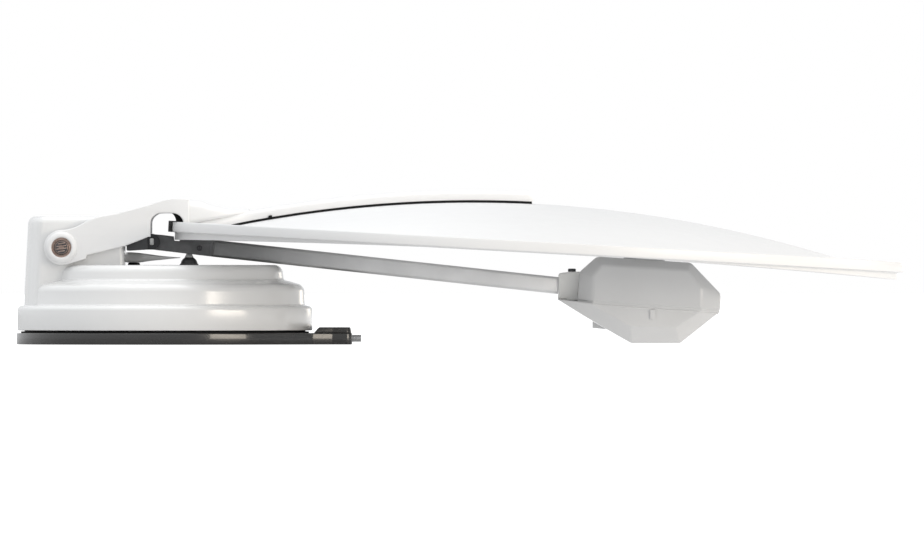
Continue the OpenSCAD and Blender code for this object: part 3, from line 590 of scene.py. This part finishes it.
# block behind the plates: its top falls in a soft wave to the rib, its bottom follows the reflector's back
def rib_z(u, v, d):
    return back(math.hypot(u, v)) + d


TOPLINE = [(26, 168.6), (33, 167.7), (41, 166.7), (46, 165.3), (50.5, 162.9), (56, 161.6), (62, 160.2), (68, 158.6), (75, 157.4), (84, 157.0), (92, 157.0), (98, 157.3)]
WIDE = [(26, 79.2), (40, 78.2), (56, 76.0), (70, 71.5), (84, 63.0), (98, 54.0)]


def along(table, x):
    for (x0, v0), (x1, v1) in zip(table, table[1:]):
        if x <= x1:
            return v0 + (v1 - v0) * (x - x0) / (x1 - x0)
    return table[-1][1]


secs = []
inv = DISH.inverted()
NB = 44
for i in range(NB + 1):
    x = 26 + 72 * i / NB
    ztop = along(spline(TOPLINE, 5), x)
    w = along(spline(WIDE, 5), x)
    t = i / NB
    ring = []
    for k in range(72):
        a = TAU * k / 72
        cy = math.copysign(abs(math.cos(a)) ** 0.30, math.cos(a)); sz = math.copysign(abs(math.sin(a)) ** (0.42 + 0.25 * t), math.sin(a))
        y = w * cy
        loc = inv @ Vector((x * MM, y * MM, 0.14))
        zb_local = rib_z(loc.x * 1000, y, 11.0)
        zb = min((DISH @ Vector((loc.x, y * MM, zb_local * MM))).z * 1000, ztop - 0.6)
        lift = max(0.0, sz)
        top_here = max(zb + 0.4, ztop - 1.2 * (y / w) ** 4)
        zc = (top_here + zb) / 2
        ring.append((x, y, zc + (top_here - zb) / 2 * sz))
    secs.append(ring)
blk = loft("fork_block", secs, smooth=40)
piece(blk, "fork", "arm", "arm_white")

# turned shaft end and collar in each hub
for s in (-1, 1):
    tag = "near" if s < 0 else "far"
    collar = turned("collar_" + tag, PIV[0], PIV[1], 84.0, s,
                    [(8.3, 6.5), (8.3, 1.0), (8.8, 0.5), (9.4, 0.6), (9.7, 1.5), (10.3, 1.5), (10.6, 0.5), (11.2, 0.1), (11.9, 0.4), (12.3, 1.2), (12.3, 6.5)])
    piece(collar, "fork", "bronze", "bronze")
    end = turned("shaft_end_" + tag, PIV[0], PIV[1], 84.4, s,
                 [(0, 3.4), (6.6, 3.4), (6.8, 1.0), (7.1, 0.4), (7.6, 0.6), (7.95, 1.6), (7.95, 9)])
    piece(end, "fork", "bronze", "bronze")
    # four slanted serrations across the middle of the shaft end
    for k in range(4):
        zz = -4.5 + 3.0 * k
        hw = math.sqrt(6.4 ** 2 - zz * zz) - 0.5
        y = s * 84.4
        bar = solid(f"shaft_rib_{tag}_{k}",
                    [(-hw, 0, zz - 0.5 - 0.7), (hw, 0, zz + 0.9 - 0.7), (hw, 0, zz + 0.9 + 0.7), (-hw, 0, zz - 0.5 + 0.7),
                     (-hw, 2.6, zz - 0.5 - 0.7), (hw, 2.6, zz + 0.9 - 0.7), (hw, 2.6, zz + 0.9 + 0.7), (-hw, 2.6, zz - 0.5 + 0.7)],
                    [(0, 1, 2, 3), (4, 5, 6, 7), (0, 1, 5, 4), (1, 2, 6, 5), (2, 3, 7, 6), (3, 0, 4, 7)], 0.25, 2,
                    Matrix.Translation((PIV[0] * MM, (y + (0.05 if s < 0 else -2.65)) * MM, PIV[1] * MM)))
        piece(bar, "fork", "bronze", "bronze")
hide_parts("shaft_collars")


# ------------------------------------------------------------------ reflector
def dish_mesh():
    NP, NR = 256, 44
    bm = bmesh.new()

    def P(ea, eb, phi, z, k=1.0):
        return DISH @ Vector((ea * k * math.cos(phi) * MM, eb * k * math.sin(phi) * MM, z * MM))
    a, b = DISH_A, DISH_B
    rings = []

    def ring(fn):
        rings.append([bm.verts.new(fn(TAU * i / NP)) for i in range(NP)])
    # back of the skin, middle to edge
    for k in [j / NR for j in range(1, NR + 1)]:
        kk = k
        ring(lambda p, kk=kk: P(a - 8.4, b - 8.4, p, back(math.hypot((a - 8.4) * kk * math.cos(p), (b - 8.4) * kk * math.sin(p))) if kk < 1 else max(10.3, back(math.hypot((a - 8.4) * math.cos(p), (b - 8.4) * math.sin(p)))), kk))
    inner_first = 0
    # up the inside of the skirt, over its rounded top, down the outside to the ledge
    for dx, z in [(6.0, 10.5), (4.0, 10.9), (3.0, 12.0), (2.7, 14.0), (2.7, 18.6), (2.4, 19.4), (1.9, 19.85), (1.3, 20.0), (0.7, 19.8), (0.2, 19.2), (0.0, 18.2), (0.0, 9.4), (0.25, 8.6), (0.9, 8.05), (2.0, 8.0), (5.6, 8.0), (6.6, 7.7)]:
        ring(lambda p, dx=dx, z=z: P(a - dx, b - dx, p, z))

    def front(p, d):
        return back(math.hypot((a - d) * math.cos(p), (b - d) * math.sin(p))) - 2.5
    for d, f in [(7.0, 0.12), (7.0, 0.80), (7.2, 0.93), (7.8, 1.0), (8.6, 1.0)]:
        # from the ledge down to the rolled edge of the skin
        ring(lambda p, d=d, f=f: P(a - d, b - d, p, 7.2 + (min(7.2, front(p, 9)) - 7.2) * f))
    for k in [1 - j / NR for j in range(1, NR)]:
        ring(lambda p, kk=k: P((a - 9), (b - 9), p, back(math.hypot((a - 9) * kk * math.cos(p), (b - 9) * kk * math.sin(p))) - 2.5, kk))
    for r0, r1 in zip(rings, rings[1:]):
        for i in range(NP):
            j = (i + 1) % NP
            bm.faces.new((r0[i], r0[j], r1[j], r1[i]))
    for rg, z in ((rings[0], DEEP), (rings[-1], DEEP - 2.5)):
        c = bm.verts.new(DISH @ Vector((0, 0, z * MM)))
        for i in range(NP):
            bm.faces.new((c, rg[i], rg[(i + 1) % NP]))
    return new_obj("reflector_skin", bm, 42)


piece(dish_mesh(), "fork", "dish", "reflector_white", "reflector")


# back rib: crowned section with soft shoulders and a small lip at its end
def rib_w(u):
    pts = [(-401, 74), (-372, 72), (-330, 58), (-200, 47), (-60, 42), (-14, 40), (-7, 39)]
    for (u0, w0), (u1, w1) in zip(pts, pts[1:]):
        if u <= u1:
            t = (u - u0) / (u1 - u0)
            t = t * t * (3 - 2 * t) * 0.5 + t * 0.5
            return w0 + (w1 - w0) * t
    return pts[-1][1]


secs = []
us = [-394 + 385.5 * (i / 90) for i in range(91)] + [-7.4, -7.0]
for n, u in enumerate(us):
    w = rib_w(u)
    e = 0.0
    if n == 0 or n == len(us) - 1:
        e = 1.6
    elif n == len(us) - 2:
        e = 0.5
    lip = 1.4 * math.exp(-((u + 10.5) / 3.2) ** 2)
    hi, lo_ = 13.8 + lip - e, 2.7 + e
    w -= e
    r = 5.2
    ring = []
    sect = []
    for t in range(9):
        a = math.radians(90 * t / 8)
        sect.append((w - r + r * math.cos(a), hi - r + r * math.sin(a)))
    for t in range(1, 12):
        sect.append(((w - r) * (1 - 2 * t / 12), hi))
    for t in range(9):
        a = math.radians(90 + 90 * t / 8)
        sect.append((-w + r + r * math.cos(a), hi - r + r * math.sin(a)))
    sect += [(-w, lo_ + 0.9), (-w + 0.3, lo_ + 0.3), (-w + 0.9, lo_)]
    for t in range(1, 12):
        sect.append((-(w - 1) * (1 - 2 * t / 12), lo_))
    sect += [(w - 0.9, lo_), (w - 0.3, lo_ + 0.3), (w, lo_ + 0.9)]
    for v, d in sect:
        bz = back(math.hypot(u, v))
        q = DISH @ Vector((u * MM, v * MM, (bz + d) * MM))
        ring.append(tuple(q * 1000))
    secs.append(ring)
rib = loft("rib_cover", secs, smooth=42)
piece(rib, "fork", "arm", "arm_white", "back_rib")
secs = []
for n, u in enumerate([-393.5 + 385.5 * (i / 90) for i in range(91)]):
    w = rib_w(u) - 0.7
    sect = [(w - 2 * w * t / 16, 2.9) for t in range(17)] + [(-w + 2 * w * t / 16, -0.2) for t in range(17)]
    secs.append([tuple((DISH @ Vector((u * MM, v * MM, (back(math.hypot(u, v)) + d) * MM))) * 1000) for v, d in sect])
gk = loft("rib_seal", secs, smooth=40)
piece(gk, "fork", "rubber", "rubber_black", "rib_gasket")
# the clip on the seal's edge, near the start of the rib
cl = []
for u in [-312 + 4.4 * i / 4 for i in range(5)]:
    w = rib_w(u) + 0.5
    h = 4.6 if -312 < u < -307.6 - 1e-6 else 4.2
    cl.append([tuple((DISH @ Vector((u * MM, v * MM, (back(math.hypot(u, v)) + d) * MM))) * 1000)
               for v, d in ((-w - 0.7, 2.2), (-w - 0.9, 2.8), (-w - 0.9, h), (-w - 0.6, h + 0.4), (-w + 2, h + 0.4), (-w + 2, 2.2))])
piece(loft("seal_clip", cl, smooth=30), "fork", "rubber", "rubber_black")

# ------------------------------------------------------------------ hinge bracket, feed hinge and tube
br_prof = [(-43.6, 108.4), (-43.6, 113.8), (-27, 120.2), (-25.6, 109.6)]
hb = [plate("hb0", [fillet(br_prof, 1.6, 3)], -71.8, 71.8, bevel=0.5, res=2)]
for s in (-1, 1):
    tab = [(-43.6, 108.4), (-43.6, 134), (-22, 140), (-20, 123), (-19, 110)]
    hb.append(plate("hb", [fillet(tab, [2, 4, 4, 2, 2], 4)], *(sorted((s * 67.5, s * 71.95))), bevel=0.6, res=2))
    ear = [(-43.6, 108.4), (-43.6, 113.8), (-22, 124.6)] + list(reversed(arc(PIN[0], PIN[1], 9.2, -86, 105, 24)))
    hb.append(plate("hb", [fillet(ear[:3], 1, 2) + ear[3:]], *(sorted((s * 13, s * 18))), bevel=0.7, res=2))
hbo = join("hinge_bracket_steel", hb)
shade(hbo, 32)
piece(hbo, "fork", "bracket", "bracket_dark", "hinge_bracket")
def double_d(r, flat, n=48):
    return [(max(-flat, min(flat, r * math.cos(TAU * k / n))), r * math.sin(TAU * k / n)) for k in range(n)]


pin = loft("fold_pin_head",
           [[(PIN[0] + x * k, -19.6 - dy, PIN[1] + z * k) for x, z in double_d(3.95, 2.2)]
            for k, dy in ((0.999, -19.0), (1.0, -0.2), (0.98, 0.1), (0.92, 0.35), (0.80, 0.5), (0.5, 0.62), (0.05, 0.66))])
piece(pin, "fork", "cap", "cap_white")

fh = arc(PIN[0], PIN[1], 9, 262, 75, 24) + [(-3, 126.9), (8, 125.5), (10.2, 125.2), (11, 120.2), (17, 119.9), (17.4, 121), (22.6, 121), (23.2, 122.9), (57.6, 120.9), (55.6, 101.6)]
cheek = plate("feed_hinge_body", [fh], -12, 12, bevel=0.9, res=3)
for s in (-1, 1):
    y0, y1 = sorted((s * 11.3, s * 13))
    c = plate("c", [fillet([(30.5, 104.8), (31.0, 116.2), (53, 117.4), (51.6, 103.1)], 1.5, 4)], y0, y1, bevel=0.02, res=0)
    boolean(cheek, c, "DIFFERENCE")
shade(cheek, 32)
spig = solid("spig", [(70, -8.3, -8.1), (117, -8.3, -8.1), (117, 8.3, -8.1), (70, 8.3, -8.1), (70, -8.3, 8.1), (117, -8.3, 8.1), (117, 8.3, 8.1), (70, 8.3, 8.1)],
             [(0, 1, 2, 3), (4, 5, 6, 7), (0, 1, 5, 4), (1, 2, 6, 5), (2, 3, 7, 6), (3, 0, 4, 7)], 0.8, 2, ARM)
cheek = join("feed_hinge_casting", [cheek, spig])
shade(cheek, 32)
piece(cheek, "feed_arm", "hinge", "hinge_dark", "feed_hinge")
for s in (-1, 1):
    sc = turned("hinge_bolt_" + ("n" if s < 0 else "f"), 40.3, 111.6, 12.9, s,
                [(0, 1.4), (1.5, 1.4), (1.55, 0.3), (2.0, 0.0), (2.8, 0.1), (3.2, 0.5), (3.2, 1.9), (0, 1.9)], 40)
    piece(sc, "feed_arm", "dark_steel", "dark_steel")
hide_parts("hinge_bolts")

# square tube with rounded edges, open inside
def rr(w, h, r, n=6):
    return fillet([(-w / 2, -h / 2), (w / 2, -h / 2), (w / 2, h / 2), (-w / 2, h / 2)], r, n)


o_, i_ = rr(20, 19.6, 3.2), rr(16.8, 16.4, 1.8)
tube = loft("feed_tube_skin",
            [[(71.6, y * 0.985, z * 0.985) for y, z in o_], [(72.0, y, z) for y, z in o_], [(474.2, y, z) for y, z in o_], [(474.6, y * 0.985, z * 0.985) for y, z in o_],
             [(474.6, y, z) for y, z in i_], [(71.6, y, z) for y, z in i_]], closed=True, matrix=ARM, smooth=32)
piece(tube, "feed_arm", "tube", "tube_grey", "feed_tube")

# ------------------------------------------------------------------ receiver head
def prism_body(name, mid, mid_hw, side, side_hw, bevel, seg=5, flat=None):
    """Convex body: outline mid at |y| = mid_hw, outline side (same number of corners) at |y| = side_hw."""
    n = len(mid)
    pts = []
    for y, ol in ((-side_hw, side), (-mid_hw, mid), (mid_hw, mid), (side_hw, side)):
        pts += [(x, y, z) for x, z in ol]
    faces = [tuple(range(n)), tuple(range(3 * n, 4 * n))]
    for k in range(3):
        for i in range(n):
            j = (i + 1) % n
            faces.append((k * n + i, k * n + j, (k + 1) * n + j, (k + 1) * n + i))
    return solid(name, pts, faces, bevel, seg, smooth=38)


up_mid = [(478.2, 50.6), (480.8, 84.0), (501.1, 101.8), (609.8, 94.7), (644.4, 58.3), (643.6, 38.7)]
up_side = [(496, 49.2), (496.5, 80), (506, 92.4), (606, 86), (622, 66), (622, 40.4)]
upper = prism_body("head_top_shell", up_mid, 34, up_side, 50, 3.2, 5)
c = revolve("c", [(0, -30), (26, -30), (26, 30), (0, 30)], 72, HEAD)
boolean(upper, c, "DIFFERENCE")
shade(upper, 38)
piece(upper, "feed_arm", "head", "head_grey", "head_upper_shell")
lo_mid = [(478, 50.0), (454.9, 52.4), (485.3, 33.4), (522, 11.9), (540.6, 1.4), (597.4, 1.4), (643.4, 38.0)]
lo_side = [(497, 48.6), (494, 47.0), (512, 36.6), (533, 24.5), (540, 21.0), (592, 19.0), (622.5, 39.4)]
lower = prism_body("head_bottom_shell", lo_mid, 30, lo_side, 49.6, 2.0, 4)
piece(lower, "feed_arm", "head_lo", "head_light", "head_lower_shell")
# tongue of the joint between the shells, and the lip that runs round it; the lip takes the lighter copy of the head
# grey, painted light for the light line along the seam
sl = 11.9 / 165.7


def ring_plan(x0, x1, x2, x3, hm, hs, d):
    return fillet([(x0 + d, -hm), (x1 + d * 0.5, -hs + d), (x2 - d * 0.5, -hs + d), (x3 - d, -hm),
                   (x3 - d, hm), (x2 - d * 0.5, hs - d), (x1 + d * 0.5, hs - d), (x0 + d, hm)], 2, 4)


def seam_ring(name, plan, drop_z, rows):
    return loft(name, [[(x, y, 50.2 - sl * (x - 478) + drop_z + dz) for x, y in ring_plan(*plan, d)] for d, dz in rows])


tongue = seam_ring("head_tongue", (478.4, 496.6, 622.0, 643.0, 32, 49.75), 0.3, ((2.4, -2.4), (0.5, -2.0), (0.22, -1.4), (0.22, 2.2), (0.5, 2.9), (2.4, 3.2)))
piece(tongue, "feed_arm", "head", "head_grey")
lipr = seam_ring("head_lip", (481.5, 495.4, 618.4, 641.2, 31, 49.7), -2.6, ((2.0, -1.3), (0.1, -1.1), (-0.35, -0.6), (-0.4, 0.0), (-0.2, 0.6), (2.0, 0.9)))
piece(lipr, "feed_arm", "head_lo", "head_light")

nk = [(456.4, 82.4), (456.4, 59), (455.2, 52.4), (480, 48.6), (483, 84.4), (470, 84.2)]
neck = plate("head_neck_block", [fillet(nk, [3, 3, 2, 1, 1, 2], 5)], -15, 15, bevel=2.4, res=4)
# the neck takes the cap white, lighter than the head grey of its part: painted light that offsets the reflector's
# shadow on it
piece(neck, "feed_arm", "cap", "cap_white", "head_neck")
kn = revolve("neck_knob", [(0, 0), (4.6, 0), (4.6, 2.9), (4.2, 3.5), (3.2, 3.8), (1.6, 3.8), (1.4, 2.9), (0, 2.8)], 48, Matrix.Translation((0.472, 0, 0.0841)))
piece(kn, "feed_arm", "dark_steel", "dark_steel", "neck_screw")
cap = revolve("horn_window", [(0, 10.6), (23.2, 10.6), (23.9, 11.2), (23.9, 12.0), (23.4, 12.7), (22.2, 13.2), (19, 13.6), (12, 14.2), (0, 14.6)], 96, HEAD)
piece(cap, "skew_unit", "cap", "cap_white", "horn_cap")

# ------------------------------------------------------------------ floor, light, camera
# glow cast on the piece beside the base, glow cast on it under the open right side, and the even glow seen by the
# camera; the first two are painted light
FLOOR_BACKDROP_AND_PAINTED_GLOW = (0.17, 0.64, 0.90)
bpy.ops.mesh.primitive_plane_add(size=120, location=(0.3, 0, -0.0005))
floor = bpy.context.object
floor.name = "floor"
fm = bpy.data.materials.new("floor_white"); fm.use_nodes = True
ft = fm.node_tree
ft.nodes.clear()
f_out = ft.nodes.new("ShaderNodeOutputMaterial"); f_dif = ft.nodes.new("ShaderNodeBsdfDiffuse"); f_em = ft.nodes.new("ShaderNodeEmission")
f_add = ft.nodes.new("ShaderNodeAddShader"); f_noise = ft.nodes.new("ShaderNodeTexNoise"); f_mr = ft.nodes.new("ShaderNodeMapRange")
f_cb = ft.nodes.new("ShaderNodeCombineColor")
f_noise.inputs["Scale"].default_value = 3.0
f_mr.inputs["To Min"].default_value = 0.36; f_mr.inputs["To Max"].default_value = 0.40
ft.links.new(f_noise.outputs["Fac"], f_mr.inputs["Value"])
for i in range(3):
    ft.links.new(f_mr.outputs["Result"], f_cb.inputs[i])
ft.links.new(f_cb.outputs[0], f_dif.inputs["Color"])
f_lp = ft.nodes.new("ShaderNodeLightPath"); f_gl = ft.nodes.new("ShaderNodeMapRange")
f_gl.inputs["To Max"].default_value = FLOOR_BACKDROP_AND_PAINTED_GLOW[2]
# the floor's glow cast on the piece is painted light standing in for floor bounce, stronger under the open right side
# than beside the base; to the camera the floor glows evenly white
f_tc = ft.nodes.new("ShaderNodeTexCoord"); f_sx = ft.nodes.new("ShaderNodeSeparateXYZ"); f_painted_glow_x = ft.nodes.new("ShaderNodeMapRange")
f_painted_glow_x.interpolation_type = "SMOOTHSTEP"
f_painted_glow_x.inputs["From Min"].default_value = -0.22; f_painted_glow_x.inputs["From Max"].default_value = 0.20
f_painted_glow_x.inputs["To Min"].default_value = FLOOR_BACKDROP_AND_PAINTED_GLOW[0]; f_painted_glow_x.inputs["To Max"].default_value = FLOOR_BACKDROP_AND_PAINTED_GLOW[1]
ft.links.new(f_tc.outputs["Object"], f_sx.inputs[0]); ft.links.new(f_sx.outputs[0], f_painted_glow_x.inputs["Value"])
ft.links.new(f_painted_glow_x.outputs["Result"], f_gl.inputs["To Min"])
ft.links.new(f_lp.outputs["Is Camera Ray"], f_gl.inputs["Value"]); ft.links.new(f_gl.outputs["Result"], f_em.inputs["Strength"])
ft.links.new(f_dif.outputs[0], f_add.inputs[0]); ft.links.new(f_em.outputs[0], f_add.inputs[1]); ft.links.new(f_add.outputs[0], f_out.inputs[0])
floor.data.materials.append(fm)

world = bpy.data.worlds.new("studio")
bpy.context.scene.world = world
world.use_nodes = True
wt = world.node_tree
wt.nodes.clear()
wo = wt.nodes.new("ShaderNodeOutputWorld"); bg = wt.nodes.new("ShaderNodeBackground")
bgc = wt.nodes.new("ShaderNodeBackground"); mx = wt.nodes.new("ShaderNodeMixShader"); lp = wt.nodes.new("ShaderNodeLightPath")
tc = wt.nodes.new("ShaderNodeTexCoord"); sep = wt.nodes.new("ShaderNodeSeparateXYZ")
wt.links.new(tc.outputs["Generated"], sep.inputs[0])
# brighter overhead and to the left, dimmer to the right
mr1 = wt.nodes.new("ShaderNodeValToRGB")
cr = mr1.color_ramp
cr.interpolation = "EASE"
for pos, v in ((0.0, 0.44), (0.16, 0.39), (0.42, 0.30), (0.72, 0.42), (0.92, 0.70)):
    e = cr.elements[0] if pos == 0.0 else (cr.elements[1] if pos == 0.92 else cr.elements.new(pos))
    e.position = pos
    e.color = (v, v, v, 1)
wt.links.new(sep.outputs[2], mr1.inputs[0])
w2 = wt.nodes.new("ShaderNodeMath"); w2.operation = "MULTIPLY"; w2.inputs[1].default_value = 2.1
wt.links.new(mr1.outputs[0], w2.inputs[0])
mr2 = wt.nodes.new("ShaderNodeMapRange"); mr2.inputs["From Min"].default_value = -1.0; mr2.inputs["From Max"].default_value = 1.0
mr2.inputs["To Min"].default_value = 0.93; mr2.inputs["To Max"].default_value = 0.64
wt.links.new(sep.outputs[0], mr2.inputs["Value"])
ml = wt.nodes.new("ShaderNodeMath"); ml.operation = "MULTIPLY"
wt.links.new(w2.outputs[0], ml.inputs[0]); wt.links.new(mr2.outputs[0], ml.inputs[1])
wt.links.new(ml.outputs[0], bg.inputs["Strength"])
bg.inputs["Color"].default_value = (0.97, 0.985, 1.0, 1)
bgc.inputs["Color"].default_value = (1, 1, 1, 1); bgc.inputs["Strength"].default_value = 1.0
wt.links.new(lp.outputs["Is Camera Ray"], mx.inputs[0]); wt.links.new(bg.outputs[0], mx.inputs[1]); wt.links.new(bgc.outputs[0], mx.inputs[2])
wt.links.new(mx.outputs[0], wo.inputs[0])


def area(name, loc, target, size, power, color=(1, 1, 1)):
    l = bpy.data.lights.new(name, "AREA")
    l.shape = "RECTANGLE"; l.size, l.size_y = size
    l.energy = power; l.color = color
    o = bpy.data.objects.new(name, l)
    bpy.context.scene.collection.objects.link(o)
    o.location = loc
    o.rotation_euler = (Vector(target) - Vector(loc)).to_track_quat("-Z", "Y").to_euler()
    return o


area("top_soft", (0.1, -0.4, 3.2), (0.2, 0, 0.1), (3.0, 2.4), 19)
# tall warm windows on the right: they give the warm strips on the turned surfaces
for i, (az, w, rad) in enumerate([(50, 1.45, 6.2), (102, 0.46, 6.5), (152, 0.5, 1.6)]):
    a = math.radians(az)
    area(f"window_{i}", (2.7 * math.sin(a), -2.7 * math.cos(a), 0.46), (0.0, 0, 0.40), (w, 0.86), rad * math.pi * w * 0.86, (1.0, 0.90, 0.77))

cam = bpy.data.cameras.new("cam")
cam.lens = 950
cam.sensor_width = 36
co = bpy.data.objects.new("cam", cam)
bpy.context.scene.collection.objects.link(co)
dist = 1.07184 * cam.lens / 36
co.location = (0.34452, -dist, 0.08503)
co.rotation_euler = (math.pi / 2, 0, 0)
cam.clip_end = 100
bpy.context.scene.camera = co
bpy.context.scene.view_settings.view_transform = "Standard"
bpy.context.scene.view_settings.look = "None"
